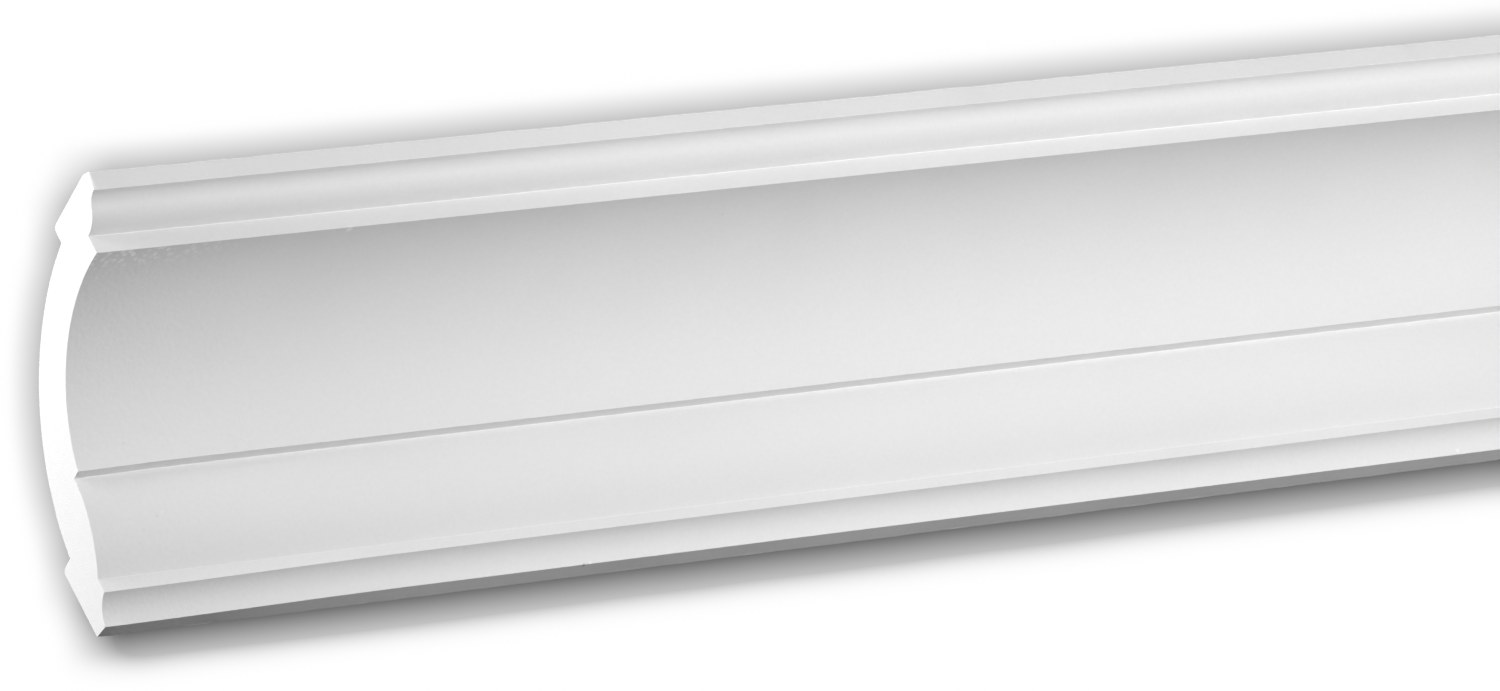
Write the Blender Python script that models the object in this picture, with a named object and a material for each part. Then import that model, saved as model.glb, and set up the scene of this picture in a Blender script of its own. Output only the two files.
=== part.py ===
# Length of cornice moulding: one piece of cast foam with a moulded front and a hollow back.
# Metres. +X runs along the length, +Y points into the wall and +Z up to the ceiling.
# The origin is the centre of the flat that is glued to the wall.

from math import atan, atan2, ceil, cos, hypot, pi, radians, sin, sqrt, tan

import bpy

# The whole section
LENGTH = 0.560
PROJECTION = 0.100
DROP = 0.0983

# The flats that are glued to the wall and the ceiling, and the hollow between them
WALL_FLAT = 0.0256
CEILING_FLAT = 0.0259
WALL_STEP = 0.0060
CEILING_STEP = 0.0058
SHELL = 0.0155
CORNER_ROUND = 0.0018

# The front, from the ceiling down to the cove
TOP_FILLET = 0.0071
CYMA_RUN = 0.0129
CYMA_DROP = 0.0072
CYMA_HOLLOW_RUN = 0.0050
MIDDLE_FILLET = 0.0065
COVE_LIFT = radians(4.9)

# The front, from the foot up to the cove
FOOT_RUN = 0.0060
CAVETTO_RUN = 0.0075
CAVETTO_DROP = 0.0074
CAVETTO_DEPTH = 0.0015
LOWER_FILLET = 0.0040
OVOLO_RUN = 0.0126
OVOLO_DROP = 0.0294
OVOLO_DEPTH = 0.0028
STEP_RUN = 0.0033

# An arc is drawn with straight lines that each turn by no more than this
ARC_STEP = radians(2.5)

NAME = "cornice_moulding"
PAINT_COLOUR = (0.80, 0.80, 0.79, 1.0)
PAINT_ROUGHNESS = 0.75


# A point of the section is (out from the wall, up from the lowest edge).
# The section is drawn anticlockwise, so an arc with a positive turn bulges out of the foam.

def moved(point, out=0.0, up=0.0):
    return point[0] + out, point[1] + up


def heading(start, end):
    return atan2(end[1] - start[1], end[0] - start[0])


def distance(start, end):
    return hypot(end[0] - start[0], end[1] - start[1])


def circle_of(start, end, turn):
    """Centre and radius of the arc from start to end."""
    radius = distance(start, end) / (2 * sin(abs(turn) / 2))
    leaving = heading(start, end) - turn / 2
    side = leaving + (pi / 2 if turn > 0 else -pi / 2)
    return (start[0] + radius * cos(side), start[1] + radius * sin(side)), radius


def arc(start, end, turn):
    """Points of an arc after its start, up to and with its end."""
    centre, radius = circle_of(start, end, turn)
    first = heading(centre, start)
    steps = max(2, ceil(abs(turn) / ARC_STEP))
    angles = [first + turn * i / steps for i in range(1, steps)]
    return [(centre[0] + radius * cos(a), centre[1] + radius * sin(a)) for a in angles] + [end]


def turn_for_depth(start, end, depth):
    """Angle of an arc whose middle stands this far off the straight line."""
    return 4 * atan(2 * depth / distance(start, end))


def rounded(before, corner, after, radius):
    """Points that round off a corner between two straight edges."""
    arriving = heading(before, corner)
    leaving = heading(corner, after)
    turn = (leaving - arriving + pi) % (2 * pi) - pi
    setback = radius * tan(abs(turn) / 2)
    start = moved(corner, -setback * cos(arriving), -setback * sin(arriving))
    end = moved(corner, setback * cos(leaving), setback * sin(leaving))
    return [start] + arc(start, end, turn)


def hollow_back_turn(start, end, cove_centre, cove_radius):
    """Angle of the hollow back's arc, with the shell's thickness behind the cove."""
    middle = ((start[0] + end[0]) / 2, (start[1] + end[1]) / 2)
    away = heading(start, end) - pi / 2
    off = (middle[0] - cove_centre[0], middle[1] - cove_centre[1])
    along = off[0] * cos(away) + off[1] * sin(away)
    reach = cove_radius + SHELL
    depth = sqrt(along ** 2 + reach ** 2 - off[0] ** 2 - off[1] ** 2) - along
    return turn_for_depth(start, end, depth)


def section():
    """The moulding's outline, from the foot up its front and down its back."""
    foot = (0.0, 0.0)
    cavetto_low = moved(foot, out=FOOT_RUN)
    cavetto_top = moved(cavetto_low, CAVETTO_RUN, CAVETTO_DROP)
    ovolo_low = moved(cavetto_top, up=LOWER_FILLET)
    ovolo_top = moved(ovolo_low, OVOLO_RUN, OVOLO_DROP)
    cove_low = moved(ovolo_top, out=STEP_RUN)

    front_top = (PROJECTION, DROP)
    cyma_top = moved(front_top, up=-TOP_FILLET)
    cyma_low = moved(cyma_top, -CYMA_RUN, -CYMA_DROP)
    cyma_slope = atan2(CYMA_DROP, CYMA_RUN)
    hollow_drop = CYMA_DROP * CYMA_HOLLOW_RUN / CYMA_RUN
    cyma_bend = moved(cyma_top, -CYMA_HOLLOW_RUN, -hollow_drop)
    cove_top = moved(cyma_low, up=-MIDDLE_FILLET)

    cavetto_turn = -turn_for_depth(cavetto_low, cavetto_top, CAVETTO_DEPTH)
    ovolo_turn = turn_for_depth(ovolo_low, ovolo_top, OVOLO_DEPTH)
    cove_turn = 2 * (-COVE_LIFT - heading(cove_low, cove_top))

    ceiling_edge = moved(front_top, out=-CEILING_FLAT)
    back_top = moved(ceiling_edge, up=-CEILING_STEP)
    wall_edge = moved(foot, up=WALL_FLAT)
    back_low = moved(wall_edge, out=WALL_STEP)
    back_turn = hollow_back_turn(back_top, back_low, *circle_of(cove_low, cove_top, cove_turn))

    points = [foot, cavetto_low]
    points += arc(cavetto_low, cavetto_top, cavetto_turn)
    points.append(ovolo_low)
    points += arc(ovolo_low, ovolo_top, ovolo_turn)
    points.append(cove_low)
    points += arc(cove_low, cove_top, cove_turn)
    points.append(cyma_low)
    points += arc(cyma_low, cyma_bend, 2 * cyma_slope)
    points += arc(cyma_bend, cyma_top, -2 * cyma_slope)
    points.append(front_top)
    points += rounded(front_top, ceiling_edge, back_top, CORNER_ROUND)
    points.append(back_top)
    points += arc(back_top, back_low, back_turn)
    points += rounded(back_low, wall_edge, foot, CORNER_ROUND)
    return points


def clear_scene():
    for thing in list(bpy.data.objects):
        bpy.data.objects.remove(thing, do_unlink=True)


def paint():
    """Matt white primer on the foam."""
    material = bpy.data.materials.new("white_primer")
    material.use_nodes = True
    shader = material.node_tree.nodes["Principled BSDF"]
    shader.inputs["Base Color"].default_value = PAINT_COLOUR
    shader.inputs["Roughness"].default_value = PAINT_ROUGHNESS
    shader.inputs["Metallic"].default_value = 0.0
    material.diffuse_color = PAINT_COLOUR
    return material


def moulding(collection):
    """The section as a flat curve, drawn out to the length and turned to lie against the wall."""
    curve = bpy.data.curves.new(NAME, type="CURVE")
    curve.dimensions = "2D"
    curve.fill_mode = "BOTH"
    curve.render_resolution_u = 0
    curve.extrude = LENGTH / 2

    points = section()
    outline = curve.splines.new("POLY")
    outline.points.add(len(points) - 1)
    for spot, (out, up) in zip(outline.points, points):
        spot.co = (out, up - WALL_FLAT / 2, 0.0, 1.0)
    outline.use_cyclic_u = True
    curve.materials.append(paint())

    piece = bpy.data.objects.new(NAME, curve)
    piece.rotation_euler = (pi / 2, 0.0, -pi / 2)
    collection.objects.link(piece)
    return piece


def main():
    clear_scene()
    collection = bpy.data.collections.new("cornice_moulding_length")
    bpy.context.scene.collection.children.link(collection)
    moulding(collection)


main()
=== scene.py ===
# The looks of a length of cornice moulding: cast foam under white primer, sawn square at both ends.
# Metres. X runs along the length, Y points into the wall and Z up to the ceiling.
from math import radians

import bmesh
import bpy
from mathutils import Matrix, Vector


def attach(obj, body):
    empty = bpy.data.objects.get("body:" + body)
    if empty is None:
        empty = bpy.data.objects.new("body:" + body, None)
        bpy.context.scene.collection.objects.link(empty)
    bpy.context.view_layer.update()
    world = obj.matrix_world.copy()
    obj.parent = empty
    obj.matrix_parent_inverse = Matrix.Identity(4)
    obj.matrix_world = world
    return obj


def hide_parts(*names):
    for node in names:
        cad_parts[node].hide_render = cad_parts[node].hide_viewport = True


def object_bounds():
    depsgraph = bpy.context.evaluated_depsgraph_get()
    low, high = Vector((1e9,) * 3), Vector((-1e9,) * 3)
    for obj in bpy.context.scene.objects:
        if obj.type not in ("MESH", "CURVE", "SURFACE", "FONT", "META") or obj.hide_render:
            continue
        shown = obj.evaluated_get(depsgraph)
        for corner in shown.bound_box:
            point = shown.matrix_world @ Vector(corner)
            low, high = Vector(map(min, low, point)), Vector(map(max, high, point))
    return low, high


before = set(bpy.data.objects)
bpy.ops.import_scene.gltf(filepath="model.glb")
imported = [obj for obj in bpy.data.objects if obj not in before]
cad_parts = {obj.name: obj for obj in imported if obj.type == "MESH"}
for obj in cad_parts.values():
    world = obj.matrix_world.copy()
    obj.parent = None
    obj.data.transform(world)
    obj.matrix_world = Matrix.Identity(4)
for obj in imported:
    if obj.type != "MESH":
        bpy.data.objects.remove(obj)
cadLow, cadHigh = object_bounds()
print("frame loaded")


# Camera, low and in front of the left end, looking up along the moulding
cameraView = {
    "place": (-1.9377, -2.2360, -1.5700),
    "turn": (122.3685, 25.2851, -25.7965),  # degrees
    "lens": 255.19,  # mm
    "sensor": 36.0,  # mm
    "farthest": 40.0,
}


def addCamera():
    turn = [radians(angle) for angle in cameraView["turn"]]
    bpy.ops.object.camera_add(location=cameraView["place"], rotation=turn)
    camera = bpy.context.object
    camera.name = "lowCamera"
    camera.data.lens = cameraView["lens"]
    camera.data.sensor_width = cameraView["sensor"]
    camera.data.clip_end = cameraView["farthest"]
    bpy.context.scene.camera = camera


addCamera()
print("camera placed")


# Helpers for working in edit mode
def openMesh(piece):  # edit mode, with nothing selected
    bpy.ops.object.select_all(action="DESELECT")
    piece.select_set(True)
    bpy.context.view_layer.objects.active = piece
    bpy.ops.object.mode_set(mode="EDIT")
    bpy.ops.mesh.select_all(action="DESELECT")


def closeMesh():
    bpy.ops.object.mode_set(mode="OBJECT")


def pick(piece, kind, wanted):  # selects the verts, edges or faces that pass a test
    bpy.ops.mesh.select_mode(type=kind)
    bpy.ops.mesh.select_all(action="DESELECT")
    mesh = bmesh.from_edit_mesh(piece.data)
    parts = {"VERT": mesh.verts, "EDGE": mesh.edges, "FACE": mesh.faces}[kind]
    for part in parts:
        if wanted(part):
            part.select_set(True)
    mesh.select_flush_mode()
    bmesh.update_edit_mesh(piece.data)


def slotOf(piece, finish):
    return piece.data.materials.find(finish)


def finishWhere(piece, wanted, finish):  # puts a finish on the faces that pass a test
    pick(piece, "FACE", wanted)
    piece.active_material_index = slotOf(piece, finish)
    bpy.ops.object.material_slot_assign()


# Materials. Object coordinates are in metres, so a noise of scale 500 has its lumps 2 mm apart.
# A noise mostly keeps to the middle of 0 to 1, and the closer its limits, the more contrast it gives.
softLimits = (0.25, 0.75)
firmLimits = (0.3, 0.7)
hardLimits = (0.35, 0.65)


def newMaterial(name, grey, roughness):
    material = bpy.data.materials.new(name)
    material.use_nodes = True
    shader = material.node_tree.nodes["Principled BSDF"]
    shader.inputs["Base Color"].default_value = (grey, grey, grey, 1.0)
    shader.inputs["Roughness"].default_value = roughness
    return material, shader


def addNode(material, kind, **sockets):
    node = material.node_tree.nodes.new(kind)
    for name, value in sockets.items():
        node.inputs[name].default_value = value
    return node


def wire(material, start, outlet, end, inlet):  # by the names of the sockets or by their order
    material.node_tree.links.new(start.outputs[outlet], end.inputs[inlet])


def placeOf(material, stretch=(1.0, 1.0, 1.0)):  # object coordinates, times a factor for each axis
    coordinates = addNode(material, "ShaderNodeTexCoord")
    mapping = addNode(material, "ShaderNodeMapping", Scale=stretch)
    wire(material, coordinates, "Object", mapping, "Vector")
    return mapping


def addNoise(material, place, scale, detail):
    noise = addNode(material, "ShaderNodeTexNoise", Scale=scale, Detail=detail)
    wire(material, place, "Vector", noise, "Vector")
    return noise


def addRange(material, source, outlet, low, high, lowResult, highResult):
    sockets = {"From Min": low, "From Max": high, "To Min": lowResult, "To Max": highResult}
    mapped = addNode(material, "ShaderNodeMapRange", **sockets)
    wire(material, source, outlet, mapped, "Value")
    return mapped


def addBump(material, height, outlet, depth, under=None):  # on top of another bump, if there is one
    bump = addNode(material, "ShaderNodeBump", Strength=1.0, Distance=depth)
    wire(material, height, outlet, bump, "Height")
    if under:
        wire(material, under, "Normal", bump, "Normal")
    return bump


def addMath(material, operation, first, firstOutlet, second, secondOutlet):
    math = addNode(material, "ShaderNodeMath")
    math.operation = operation
    wire(material, first, firstOutlet, math, 0)
    wire(material, second, secondOutlet, math, 1)
    return math


# Primer as it dries on a casting: faint clouds, fine speckle, orange peel and a slow ripple
primerLook = {
    # The arris primer is lighter than the rest: a painted highlight along the rounded arrises. The
    # foot's underside primer is darker: painted shade.
    "greys": {"whitePrimer": 0.80, "paintedHighlightArris": 0.88, "paintedShadeFootPrimer": 0.71},
    "clouds": (18.0, 3.0, 0.010),  # scale, detail, and how far the grey strays
    "speckle": (750.0, 2.0, 0.012),
    "roughness": (0.56, 0.72),
    "untextured": 0.64,  # roughness where the textures aren't shown
    "peel": (600.0, 2.0, 0.00011),  # scale, detail and depth
    "peelFade": (-0.268, -0.20, 0.15),  # rougher near the left end: from, to and what is left
    "peelIn": (-0.0875, -0.0865),  # and only inside the cove's front edge
    "ripple": (140.0, 1.0, 0.00004),
    "crumbs": (460.0, 0.50, 0.19),  # dust in the cove's top near the left end: scale, width, grey
    "crumbsAlong": (-0.265, -0.225),
    "crumbsIn": (-0.0870, -0.0867, -0.0840, -0.0770),  # none, full, full, none
}
# Small faults in the primer: place, radius, and how much lighter or darker.
# They and the crumbs are at full strength out to a share of their radius, and fade from there.
fullWithin = {"crumb": 0.5, "fault": 0.4}
primerFaults = (
    ((-0.0460, -0.0746, 0.0643), 0.0006, -0.07),
    ((0.0032, -0.0696, 0.0635), 0.0006, 0.06),
    ((-0.1057, -0.0056, -0.0128), 0.0008, -0.30),
    ((-0.1032, -0.0060, -0.0126), 0.0008, 0.12),
    ((-0.1896, -0.0860, 0.0648), 0.0014, 0.16),
    ((-0.2752, -0.0752, 0.0645), 0.0006, 0.12),
    # this lighter spot on the foot's front arris near the right end is a painted highlight
    ((0.2419, -0.0064, -0.0115), 0.0009, 0.10),
    ((-0.2541, -0.0229, 0.0137), 0.0009, 0.03),
    ((-0.2561, -0.0226, 0.0128), 0.0008, -0.04),
    ((-0.2618, -0.0211, 0.0095), 0.0006, -0.05),
    ((-0.2758, -0.0077, -0.0100), 0.0009, -0.03),
    ((-0.2619, -0.0320, 0.0341), 0.0007, -0.05),
)


def addCrumbs(material, place, along):
    scale, width, lighter = primerLook["crumbs"]
    start, stop = primerLook["crumbsAlong"]
    edge, whole, last, over = primerLook["crumbsIn"]
    crumbs = addNode(material, "ShaderNodeTexVoronoi", Scale=scale, Randomness=1.0)
    wire(material, place, "Vector", crumbs, "Vector")
    full = fullWithin["crumb"] * width
    spots = addRange(material, crumbs, "Distance", full, width, lighter, 0.0)
    near = addRange(material, along, "X", start, stop, 1.0, 0.0)
    outer = addRange(material, along, "Y", edge, whole, 0.0, 1.0)
    inner = addRange(material, along, "Y", last, over, 1.0, 0.0)
    strip = addMath(material, "MULTIPLY", outer, "Result", inner, "Result")
    where = addMath(material, "MULTIPLY", near, "Result", strip, "Value")
    return addMath(material, "MULTIPLY", spots, "Result", where, "Value")


def addFaults(material, place, grey):
    for spot, radius, change in primerFaults:
        gap = addNode(material, "ShaderNodeVectorMath")
        gap.operation = "DISTANCE"
        gap.inputs[1].default_value = spot
        wire(material, place, "Vector", gap, 0)
        full = fullWithin["fault"] * radius
        mark = addRange(material, gap, "Value", full, radius, change, 0.0)
        grey = addMath(material, "ADD", grey, "Value", mark, "Result")
    return grey


def addPrimer(name):
    grey = primerLook["greys"][name]
    material, shader = newMaterial(name, grey, primerLook["untextured"])
    place = placeOf(material)
    cloudScale, cloudDetail, cloudStray = primerLook["clouds"]
    clouds = addNoise(material, place, cloudScale, cloudDetail)
    speckleScale, speckleDetail, speckleStray = primerLook["speckle"]
    speckle = addNoise(material, place, speckleScale, speckleDetail)
    cloudGrey = addRange(material, clouds, "Fac", *softLimits, grey - cloudStray, grey + cloudStray)
    speckleGrey = addRange(material, speckle, "Fac", *softLimits, -speckleStray, speckleStray)
    whole = addMath(material, "ADD", cloudGrey, "Result", speckleGrey, "Result")
    along = addNode(material, "ShaderNodeSeparateXYZ")
    wire(material, place, "Vector", along, "Vector")
    crumbs = addCrumbs(material, place, along)
    whole = addMath(material, "ADD", whole, "Value", crumbs, "Value")
    whole = addFaults(material, place, whole)
    wire(material, whole, "Value", shader, "Base Color")
    sheen = addRange(material, clouds, "Fac", *firmLimits, *primerLook["roughness"])
    wire(material, sheen, "Result", shader, "Roughness")
    rippleScale, rippleDetail, rippleDepth = primerLook["ripple"]
    ripple = addNoise(material, place, rippleScale, rippleDetail)
    peelScale, peelDetail, peelDepth = primerLook["peel"]
    peel = addNoise(material, place, peelScale, peelDetail)
    start, stop, left = primerLook["peelFade"]
    near = addRange(material, along, "X", start, stop, 1.0, 0.0)
    inner = addRange(material, along, "Y", *primerLook["peelIn"], 0.0, 1.0)
    rough = addMath(material, "MULTIPLY", near, "Result", inner, "Result")
    fade = addRange(material, rough, "Value", 0.0, 1.0, left, 1.0)
    peelHeight = addMath(material, "MULTIPLY", peel, "Fac", fade, "Result")
    waves = addBump(material, ripple, "Fac", rippleDepth)
    skin = addBump(material, peelHeight, "Value", peelDepth, waves)
    wire(material, skin, "Normal", shader, "Normal")
    return material


# Bare foam where it is sawn: cells, faint saw marks, and painted shade that makes it darker towards
# the bottom
foamLook = {
    "untextured": (0.90, 0.85),  # grey and roughness
    "paintedShadeLow": (-0.012, 0.07, 0.79, 0.92),  # low, high, and the grey at each
    "mottle": (420.0, 3.0, 0.012),  # scale, detail, and how far the grey strays
    "roughness": (0.8, 0.92),
    "cells": (2600.0, 0.00005),  # scale and depth
    "marks": (520.0, 2.0, 0.05, 0.00002),  # scale, detail, how drawn out and depth
}


def addFoam(name):
    material, shader = newMaterial(name, *foamLook["untextured"])
    place = placeOf(material)
    height = addNode(material, "ShaderNodeSeparateXYZ")
    wire(material, place, "Vector", height, "Vector")
    # painted shade: the sawn end runs darker towards the bottom
    paintedShadeLow = addRange(material, height, "Z", *foamLook["paintedShadeLow"])
    mottleScale, mottleDetail, stray = foamLook["mottle"]
    mottle = addNoise(material, place, mottleScale, mottleDetail)
    mottleGrey = addRange(material, mottle, "Fac", *softLimits, -stray, stray)
    whole = addMath(material, "ADD", paintedShadeLow, "Result", mottleGrey, "Result")
    wire(material, whole, "Value", shader, "Base Color")
    sheen = addRange(material, mottle, "Fac", *firmLimits, *foamLook["roughness"])
    wire(material, sheen, "Result", shader, "Roughness")
    cellScale, cellDepth = foamLook["cells"]
    cells = addNode(material, "ShaderNodeTexVoronoi", Scale=cellScale)
    wire(material, place, "Vector", cells, "Vector")
    markScale, markDetail, drawn, markDepth = foamLook["marks"]
    marks = addNoise(material, placeOf(material, (1.0, drawn, 1.0)), markScale, markDetail)
    sawn = addBump(material, marks, "Fac", markDepth)
    rough = addBump(material, cells, "Distance", cellDepth, sawn)
    wire(material, rough, "Normal", shader, "Normal")
    return material


# The back as it left the mould: bare skin with blown pinholes
backLook = {
    "untextured": (0.70, 0.80),
    "greys": (0.66, 0.76),
    "clouds": (26.0, 4.0),  # scale and detail
    "roughness": (0.7, 0.88),
    "grain": (420.0, 3.0, 0.00006),  # scale, detail and depth
    "pinholes": (260.0, 0.16, 0.0004),  # scale, width as a share of the spacing, and depth
    "pinholeShade": 0.55,
}


def addBack(name):
    material, shader = newMaterial(name, *backLook["untextured"])
    place = placeOf(material)
    clouds = addNoise(material, place, *backLook["clouds"])
    spacing, width, holeDepth = backLook["pinholes"]
    holes = addNode(material, "ShaderNodeTexVoronoi", Scale=spacing, Randomness=1.0)
    wire(material, place, "Vector", holes, "Vector")
    solid = addRange(material, holes, "Distance", 0.5 * width, width, 0.0, 1.0)
    skinGrey = addRange(material, clouds, "Fac", *firmLimits, *backLook["greys"])
    shade = addRange(material, solid, "Result", 0.0, 1.0, backLook["pinholeShade"], 1.0)
    whole = addMath(material, "MULTIPLY", skinGrey, "Result", shade, "Result")
    wire(material, whole, "Value", shader, "Base Color")
    sheen = addRange(material, clouds, "Fac", *firmLimits, *backLook["roughness"])
    wire(material, sheen, "Result", shader, "Roughness")
    grainScale, grainDetail, grainDepth = backLook["grain"]
    grain = addNoise(material, place, grainScale, grainDetail)
    rough = addBump(material, grain, "Fac", grainDepth)
    pitted = addBump(material, solid, "Result", holeDepth, rough)
    wire(material, pitted, "Normal", shader, "Normal")
    return material


# The flats that take the glue, rubbed down lengthwise
flatLook = {
    "untextured": (0.76, 0.80),
    "greys": (0.70, 0.80),
    "scratches": (900.0, 3.0, 0.03, 0.00003),  # scale, detail, how drawn out and depth
    "clouds": (35.0, 3.0),
    "roughness": (0.72, 0.9),
}


def addFlat(name):
    material, shader = newMaterial(name, *flatLook["untextured"])
    scale, detail, drawn, depth = flatLook["scratches"]
    scratches = addNoise(material, placeOf(material, (drawn, 1.0, 1.0)), scale, detail)
    clouds = addNoise(material, placeOf(material), *flatLook["clouds"])
    blend = addNode(material, "ShaderNodeMix", Factor=0.5)
    wire(material, scratches, "Fac", blend, "A")
    wire(material, clouds, "Fac", blend, "B")
    whole = addRange(material, blend, "Result", *hardLimits, *flatLook["greys"])
    wire(material, whole, "Result", shader, "Base Color")
    sheen = addRange(material, clouds, "Fac", *firmLimits, *flatLook["roughness"])
    wire(material, sheen, "Result", shader, "Roughness")
    rubbed = addBump(material, scratches, "Fac", depth)
    wire(material, rubbed, "Normal", shader, "Normal")
    return material


# The moulding. Its solid comes as loose triangles, with arcs drawn as short straight lines.
moulding = {
    "merge": 0.00001,
    "flatWithin": 0.5,  # degrees, between triangles that make one face
    "shortest": 0.0005,  # lines of an arc that lie closer than this are dissolved
    "sharp": 20.0,  # degrees, what counts as an arris
    "arris": 0.00042,  # how far the primer rounds the arris under the cyma, the softest one
    "arrisSteps": 2,
    "underCyma": (0.0, 87.1, 84.0),  # where it starts, mm from the left end, the wall and the foot
    "plain": 0.64,  # share of that at the other arrises
    "crisp": 0.22,  # and at the edges of an underside or the ceiling flat
    "undersidesBelow": 80.0,  # mm up from the foot
    "pitch": 0.0056,  # of the cuts along the length, at most a hundred of them
    "finePitch": 0.0007,  # of the cuts close to the left end
    "fineLength": 0.008,
    "wave": 0.0002,  # how far the cast front wanders up and down
    "waveLength": 0.14,
    "backLumps": 0.0005,
    "backLumpSize": 0.011,
    "smooth": 40.0,  # degrees
}
# The finishes, in the order of their slots
finishes = {
    "whitePrimer": addPrimer,
    "paintedHighlightArris": addPrimer,
    "sawnFoam": addFoam,
    "castBack": addBack,
    "sandedFlat": addFlat,
    "paintedShadeFootPrimer": addPrimer,
}
# Where the saw broke the left end: a point of the cut, as along, out and up in mm, and its direction
chips = {
    "topFront": ((1.6, 100.0, 98.3), (-0.63, 0.757, 0.142)),
    "footFront": ((0.0, 5.4, -0.9), (-0.55, 0.5, -0.7)),
    "footBack": ((0.0, 0.0, 0.05), (-0.3, -0.35, -0.9)),
}
# What hangs a little at the left end: mm out from and to, mm up from and to, depth and reach
droops = {
    "footLip": (2.5, 13.8, -1.0, 11.0, 0.00088, 0.11),
    "step": (25.0, 31.0, 39.5, 43.0, 0.00045, 0.035),
}


def fromEnd(along, out, up):  # a point by its mm from the left end, the wall and the lowest edge
    return Vector((cadLow.x + along / 1000, cadHigh.y - out / 1000, cadLow.z + up / 1000))


# Tests for the faces and edges of the moulding
squarely = 0.99  # how well a face has to look along an axis
hairline = 0.0002  # how close counts as on a face or an edge
touching = 0.000001  # and as the same place


def isEnd(face):  # not the small faces where an arris meets the end
    return abs(face.normal.x) > squarely and len(face.verts) > 4


def isWallFlat(face):
    return face.normal.y > squarely and face.calc_center_median().y > cadHigh.y - hairline


def isCeilingFlat(face):
    return face.normal.z > squarely and face.calc_center_median().z > cadHigh.z - hairline


def isFlat(face):
    return isWallFlat(face) or isCeilingFlat(face)


def isFootUnderside(face):
    return face.normal.z < -squarely and face.calc_center_median().z < fromEnd(0, 0, 1).z


def isBack(face):
    turned = face.normal.z > 0.1 or face.normal.y > 0.3
    return turned and abs(face.normal.x) < 0.5 and not isFlat(face)


def copyOfNode(node, name):
    piece = bpy.data.objects.new(name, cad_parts[node].data.copy())
    bpy.context.scene.collection.objects.link(piece)
    piece.data.materials.clear()
    return piece


def mergeTriangles():
    bpy.ops.mesh.select_all(action="SELECT")
    bpy.ops.mesh.remove_doubles(threshold=moulding["merge"])
    bpy.ops.mesh.dissolve_limited(angle_limit=radians(moulding["flatWithin"]))


def isLong(edge):
    return abs(edge.verts[0].co.x - edge.verts[1].co.x) > 0.9 * (cadHigh.x - cadLow.x)


def dissolveCloseLines(piece):  # thins the finest arcs, so that the arrises have room to be rounded
    sharp = radians(moulding["sharp"])
    mesh = bmesh.from_edit_mesh(piece.data)
    end = min(mesh.faces, key=lambda face: face.calc_center_median().x)
    ring = [vert.co.copy() for vert in end.verts]
    corners = []
    for i, spot in enumerate(ring):
        onward = ring[(i + 1) % len(ring)] - spot
        if (spot - ring[i - 1]).angle(onward) > sharp:
            corners.append(spot)
    first = ring.index(corners[0])
    last = corners[0]
    close = []
    for spot in ring[first + 1:] + ring[:first]:
        if spot not in corners:
            if min((spot - other).length for other in [last, *corners]) < moulding["shortest"]:
                close.append(spot.yz)
                continue
        last = spot

    def isClose(edge):
        place = edge.verts[0].co.yz
        return isLong(edge) and any((place - spot).length < touching for spot in close)

    pick(piece, "EDGE", isClose)
    bpy.ops.mesh.dissolve_edges(use_verts=True)


def isCrispEdge(edge):  # of the undersides and the ceiling flat
    low = edge.verts[0].co.z < fromEnd(0, 0, moulding["undersidesBelow"]).z
    return any(isCeilingFlat(face) or (low and face.normal.z < -0.95) for face in edge.link_faces)


def isUnderCyma(edge):
    gap = edge.verts[0].co.yz - fromEnd(*moulding["underCyma"]).yz
    return isLong(edge) and gap.length < hairline


def roundArrises(piece):
    sharp = radians(moulding["sharp"])
    pick(piece, "EDGE", lambda edge: edge.calc_face_angle(0.0) > sharp)
    bpy.ops.transform.edge_bevelweight(value=moulding["plain"])
    pick(piece, "EDGE", isCrispEdge)
    bpy.ops.transform.edge_bevelweight(value=moulding["crisp"] - moulding["plain"])
    pick(piece, "EDGE", isUnderCyma)
    bpy.ops.transform.edge_bevelweight(value=1.0 - moulding["plain"])
    closeMesh()
    bpy.ops.object.modifier_add(type="BEVEL")
    modifier = piece.modifiers[-1]
    modifier.limit_method = "WEIGHT"
    modifier.width = moulding["arris"]
    modifier.segments = moulding["arrisSteps"]
    # the rounded arrises take the lighter primer, a painted highlight
    modifier.material = slotOf(piece, "paintedHighlightArris")
    bpy.ops.object.modifier_apply(modifier=modifier.name)
    openMesh(piece)


def cutLength(piece):  # all along, and closer near the left end
    pitch, finePitch = moulding["pitch"], moulding["finePitch"]
    pick(piece, "EDGE", isLong)
    bpy.ops.mesh.subdivide(number_cuts=round((cadHigh.x - cadLow.x) / pitch) - 1)

    def isNearEnd(edge):
        start, stop = edge.verts[0].co.x, edge.verts[1].co.x
        lengthwise = abs(start - stop) > 0.5 * pitch
        return lengthwise and (start + stop) / 2 < cadLow.x + moulding["fineLength"]

    pick(piece, "EDGE", isNearEnd)
    bpy.ops.mesh.subdivide(number_cuts=round(pitch / finePitch) - 1)


def sag(piece, outLow, outHigh, upLow, upHigh, depth, reach):
    endCut = cadLow.x + 0.0006

    def hangs(vert):
        out, up = (cadHigh.y - vert.co.y) * 1000, (vert.co.z - cadLow.z) * 1000
        return outLow < out < outHigh and upLow < up < upHigh

    pick(piece, "VERT", lambda vert: not hangs(vert))
    bpy.ops.mesh.hide(unselected=False)
    pick(piece, "VERT", lambda vert: not vert.hide and vert.co.x < endCut)
    bpy.ops.transform.translate(
        value=(0.0, 0.0, -depth),
        use_proportional_edit=True,
        proportional_edit_falloff="SMOOTH",
        proportional_size=reach,
    )
    bpy.ops.mesh.reveal(select=False)


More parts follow.
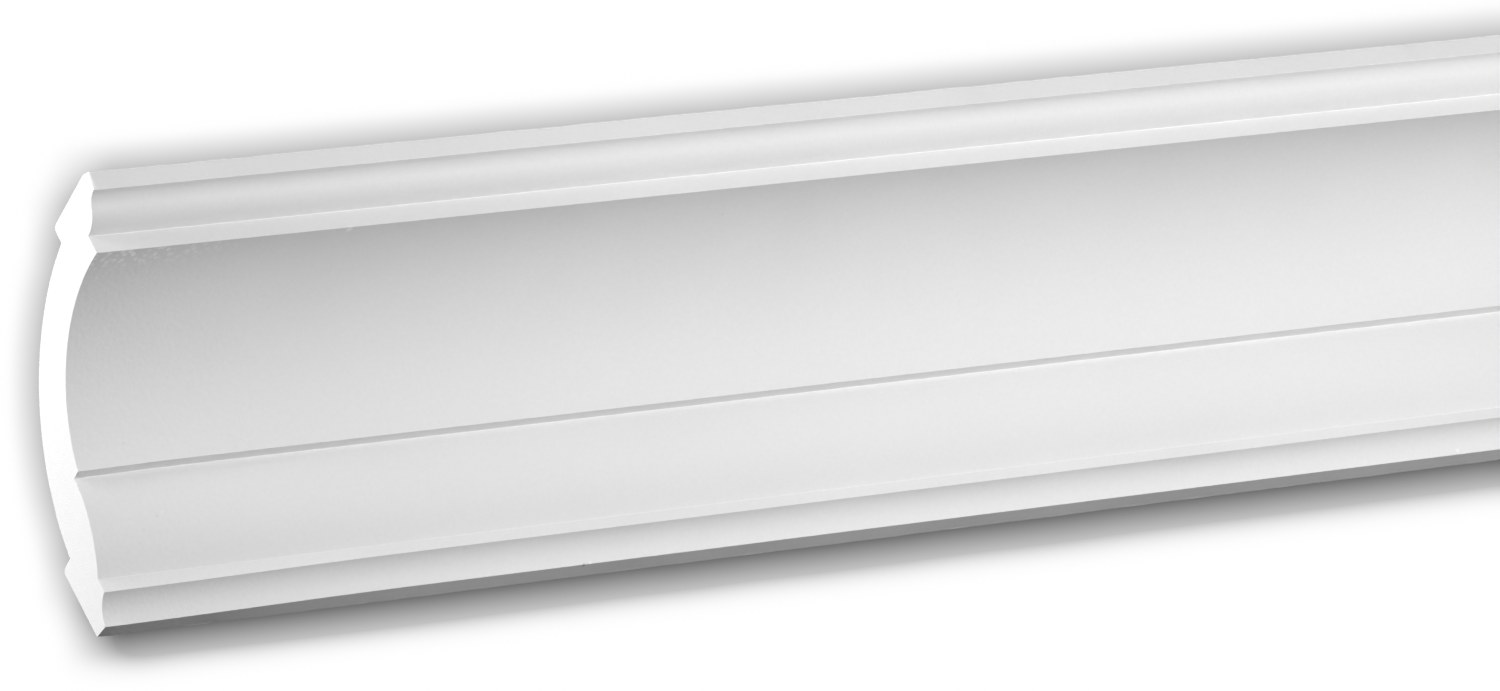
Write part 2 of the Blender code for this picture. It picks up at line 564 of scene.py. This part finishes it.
def breakCorners(piece):
    for spot, (along, out, up) in chips.values():
        facing = Vector((along, -out, up)).normalized()
        bpy.ops.mesh.select_all(action="SELECT")
        bpy.ops.mesh.bisect(
            plane_co=fromEnd(*spot),
            plane_no=(along, -out, up),
            use_fill=True,
            clear_outer=True,
            threshold=touching,
        )
        finishWhere(piece, lambda face: face.normal.dot(facing) > 0.9999, "sawnFoam")


def addGroup(piece, name):  # of the selected verts
    bpy.ops.object.vertex_group_add()
    piece.vertex_groups.active.name = name
    bpy.ops.object.vertex_group_assign()


def displace(piece, name, group, size, strength, direction):
    lumps = bpy.data.textures.new(name, "CLOUDS")
    lumps.noise_scale = size
    lumps.noise_depth = 1
    bpy.ops.object.modifier_add(type="DISPLACE")
    modifier = piece.modifiers[-1]
    modifier.name = name
    modifier.texture = lumps
    modifier.texture_coords = "LOCAL"
    modifier.direction = direction
    modifier.vertex_group = group
    modifier.mid_level = 0.5
    modifier.strength = strength
    bpy.ops.object.modifier_apply(modifier=name)


def isFront(vert):
    return not any(isBack(face) or isFlat(face) for face in vert.link_faces)


def unevenCasting(piece):
    openMesh(piece)
    pick(piece, "FACE", isBack)
    addGroup(piece, "back")
    pick(piece, "VERT", isFront)
    addGroup(piece, "front")
    closeMesh()
    displace(piece, "frontWave", "front", moulding["waveLength"], moulding["wave"], "Z")
    displace(piece, "backLumps", "back", moulding["backLumpSize"], moulding["backLumps"], "NORMAL")


def evenShading(piece):  # keeps the broad faces flat and turns the shading on the rounded arrises
    bpy.ops.object.modifier_add(type="WEIGHTED_NORMAL")
    modifier = piece.modifiers[-1]
    modifier.mode = "FACE_AREA"
    modifier.weight = 100  # the broadest faces count most
    modifier.keep_sharp = True
    bpy.ops.object.modifier_apply(modifier=modifier.name)


def makeMoulding():
    piece = copyOfNode("cornice_moulding", "primed_moulding")
    for name, addFinish in finishes.items():
        piece.data.materials.append(addFinish(name))
    openMesh(piece)
    mergeTriangles()
    dissolveCloseLines(piece)
    roundArrises(piece)
    cutLength(piece)
    finishWhere(piece, isBack, "castBack")
    finishWhere(piece, isEnd, "sawnFoam")
    finishWhere(piece, isFlat, "sandedFlat")
    # the foot's underside takes a darker primer, painted shade
    finishWhere(piece, isFootUnderside, "paintedShadeFootPrimer")
    for droop in droops.values():
        sag(piece, *droop)
    breakCorners(piece)
    closeMesh()
    unevenCasting(piece)
    bpy.ops.object.shade_smooth_by_angle(angle=radians(moulding["smooth"]))
    evenShading(piece)
    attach(piece, "root")
    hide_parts("cornice_moulding")


makeMoulding()
print("moulding shaped")


# Floor and light
studio = {
    "floorDrop": 2.4,
    "floorSize": 60.0,
    "floorGrey": 0.86,
    "floorRoughness": 0.9,
    "floorGlow": 0.45,
    "sky": 0.02,
}
# Each soft box: place, what it faces, watts and width
softBoxes = {
    "frontBox": ((-0.089, -0.707, -0.348), (0.15, -0.05, 0.04), 4.34, 0.4),
    "middleBox": ((0.534, -0.716, -0.180), (0.15, -0.05, 0.04), 2.08, 0.4),
    "rightBox": ((0.89, -0.181, -0.234), (0.15, -0.05, 0.04), 2.06, 0.4),
    "leftBox": ((-1.815, -0.536, 0.724), (0.0, -0.05, 0.04), 21.8, 1.0),
    "leftHighBox": ((-1.731, -0.110, 1.040), (0.0, -0.05, 0.04), 23.0, 1.0),
    "backBox": ((0.0, 1.9, 1.7), (0.0, 0.0, 0.04), 13.0, 1.5),
    "rightEndBox": ((1.9, 0.4, 0.35), (0.28, -0.05, 0.04), 9.0, 1.0),
}


def addFloor():
    size = studio["floorSize"]
    bpy.ops.mesh.primitive_plane_add(size=size, location=(0.0, 0.0, -studio["floorDrop"]))
    floor = bpy.context.object
    floor.name = "floor"
    material, shader = newMaterial("paleFloor", studio["floorGrey"], studio["floorRoughness"])
    shader.inputs["Emission Color"].default_value = (1.0, 1.0, 1.0, 1.0)
    shader.inputs["Emission Strength"].default_value = studio["floorGlow"]
    material.cycles.emission_sampling = "NONE"
    floor.data.materials.append(material)
    floor.visible_diffuse = False  # the soft boxes alone light the moulding
    floor.visible_glossy = False


def addSoftBox(name):
    place, facing, watts, width = softBoxes[name]
    bpy.ops.object.light_add(type="AREA", location=place)
    light = bpy.context.object
    light.name = name
    light.rotation_euler = (Vector(facing) - Vector(place)).to_track_quat("-Z", "Y").to_euler()
    light.data.shape = "SQUARE"
    light.data.size = width
    light.data.energy = watts
    light.visible_camera = False


def addSky():
    world = bpy.data.worlds.new("studioSky")
    bpy.context.scene.world = world
    world.use_nodes = True
    background = world.node_tree.nodes["Background"]
    background.inputs["Color"].default_value = (1.0, 1.0, 1.0, 1.0)
    background.inputs["Strength"].default_value = studio["sky"]


addFloor()
addSky()
for boxName in softBoxes:
    addSoftBox(boxName)
bpy.context.scene.view_settings.view_transform = "Standard"
print("studio lit")


# A painted shadow: a soft grey halo painted on the white ground round the piece, sized as a share of
# the picture's width
paintedShadow = {
    "reach": 0.020,
    "softness": 0.4,
    "strength": 0.86,
    "lowReach": 0.023,  # and more painted shadow next to the dark underside of the foot
    "lowSoftness": 0.9,
    "lowStrength": 4.6,
    "lowMost": 0.41,
    "darkest": (0.300, 0.325),  # greys that count as dark, wholly and not at all
}


def addPaintedShadow():
    scene = bpy.context.scene
    scene.render.film_transparent = True
    scene.use_nodes = True
    nodes, links = scene.node_tree.nodes, scene.node_tree.links
    nodes.clear()
    layer = nodes.new("CompositorNodeRLayers")

    def addCount(operation, first, second):  # a maths node on two sockets or numbers
        count = nodes.new("CompositorNodeMath")
        count.operation = operation
        for socket, source in zip(count.inputs, (first, second)):
            if isinstance(source, float):
                socket.default_value = source
            else:
                links.new(source, socket)
        return count.outputs[0]

    def addBlur(source, kind, reach):
        pixels = nodes.new("CompositorNodeRelativeToPixel")
        pixels.data_type = "FLOAT"
        pixels.reference_dimension = "X"
        pixels.inputs[1].default_value = reach
        links.new(layer.outputs["Image"], pixels.inputs["Image"])
        blur = nodes.new("CompositorNodeBlur")
        blur.filter_type = kind
        links.new(source, blur.inputs["Image"])
        links.new(pixels.outputs[0], blur.inputs["Size"])
        return blur.outputs[0]

    def spread(source, reach, soft):  # an even blur, with its edge softened
        return addBlur(addBlur(source, "FLAT", reach), "GAUSS", soft * reach)

    grey = nodes.new("CompositorNodeRGBToBW")
    links.new(layer.outputs["Image"], grey.inputs[0])
    low, high = paintedShadow["darkest"]
    light = addCount("MULTIPLY", addCount("SUBTRACT", grey.outputs[0], low), 1 / (high - low))
    lit = addCount("MAXIMUM", addCount("MINIMUM", light, 1.0), 0.0)
    dark = addCount("MULTIPLY", addCount("SUBTRACT", 1.0, lit), layer.outputs["Alpha"])
    outline = spread(layer.outputs["Alpha"], paintedShadow["reach"], paintedShadow["softness"])
    around = addCount("MULTIPLY", outline, paintedShadow["strength"])
    underside = spread(dark, paintedShadow["lowReach"], paintedShadow["lowSoftness"])
    below = addCount("MULTIPLY", underside, paintedShadow["lowStrength"])
    under = addCount("MINIMUM", below, paintedShadow["lowMost"])
    ground = addCount("SUBTRACT", 1.0, addCount("ADD", around, under))
    over = nodes.new("CompositorNodeAlphaOver")
    links.new(ground, over.inputs[1])
    links.new(layer.outputs["Image"], over.inputs[2])
    picture = nodes.new("CompositorNodeComposite")
    links.new(over.outputs[0], picture.inputs[0])


addPaintedShadow()
print("glow added")
